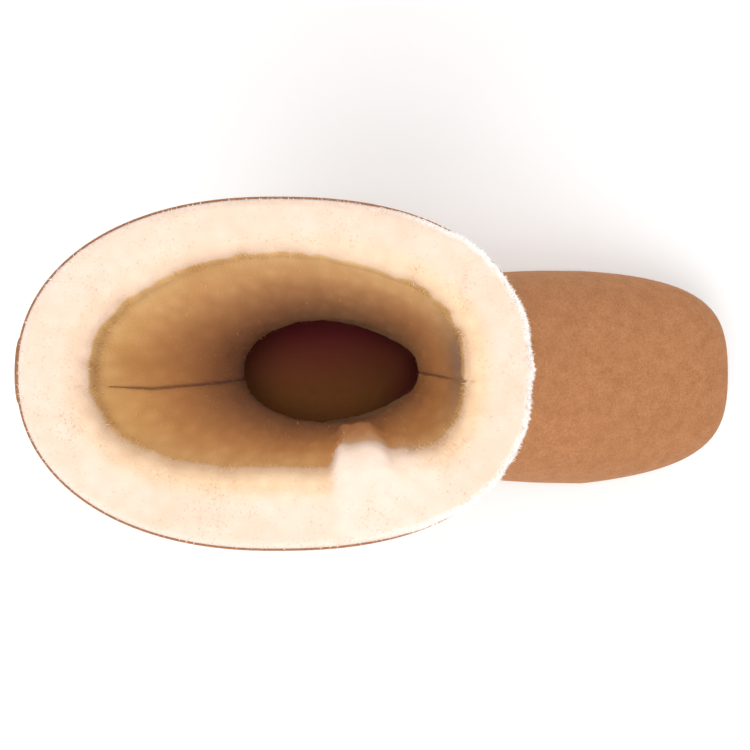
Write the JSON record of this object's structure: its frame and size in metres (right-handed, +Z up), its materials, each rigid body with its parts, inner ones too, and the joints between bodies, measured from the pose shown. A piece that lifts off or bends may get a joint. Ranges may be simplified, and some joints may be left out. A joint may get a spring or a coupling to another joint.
{
  "type": "sheepskin boot",
  "caption": "Tall pull-on sheepskin boot with a suede outside, deep fleece lining, heel counter, back strip and moulded sole.",
  "frame": {"origin": "centre of the bounding box at the floor, under the sole", "axes": "+X from the heel towards the toe, +Y towards the medial side of this right boot, +Z up the shaft"},
  "size_m": [0.2842, 0.1068, 0.3272],
  "materials": {
    "suede": "matt napped suede",
    "fleece": "deep curled pile",
    "sole": "matt moulded rubber",
    "footbed": "felted pile"
  },
  "bodies": {
    "root": {"outsole": "sole", "insole": "footbed", "upper": "suede", "fleece": "fleece", "heel_counter": "suede", "back_strip": "suede"}
  },
  "joints": []
}
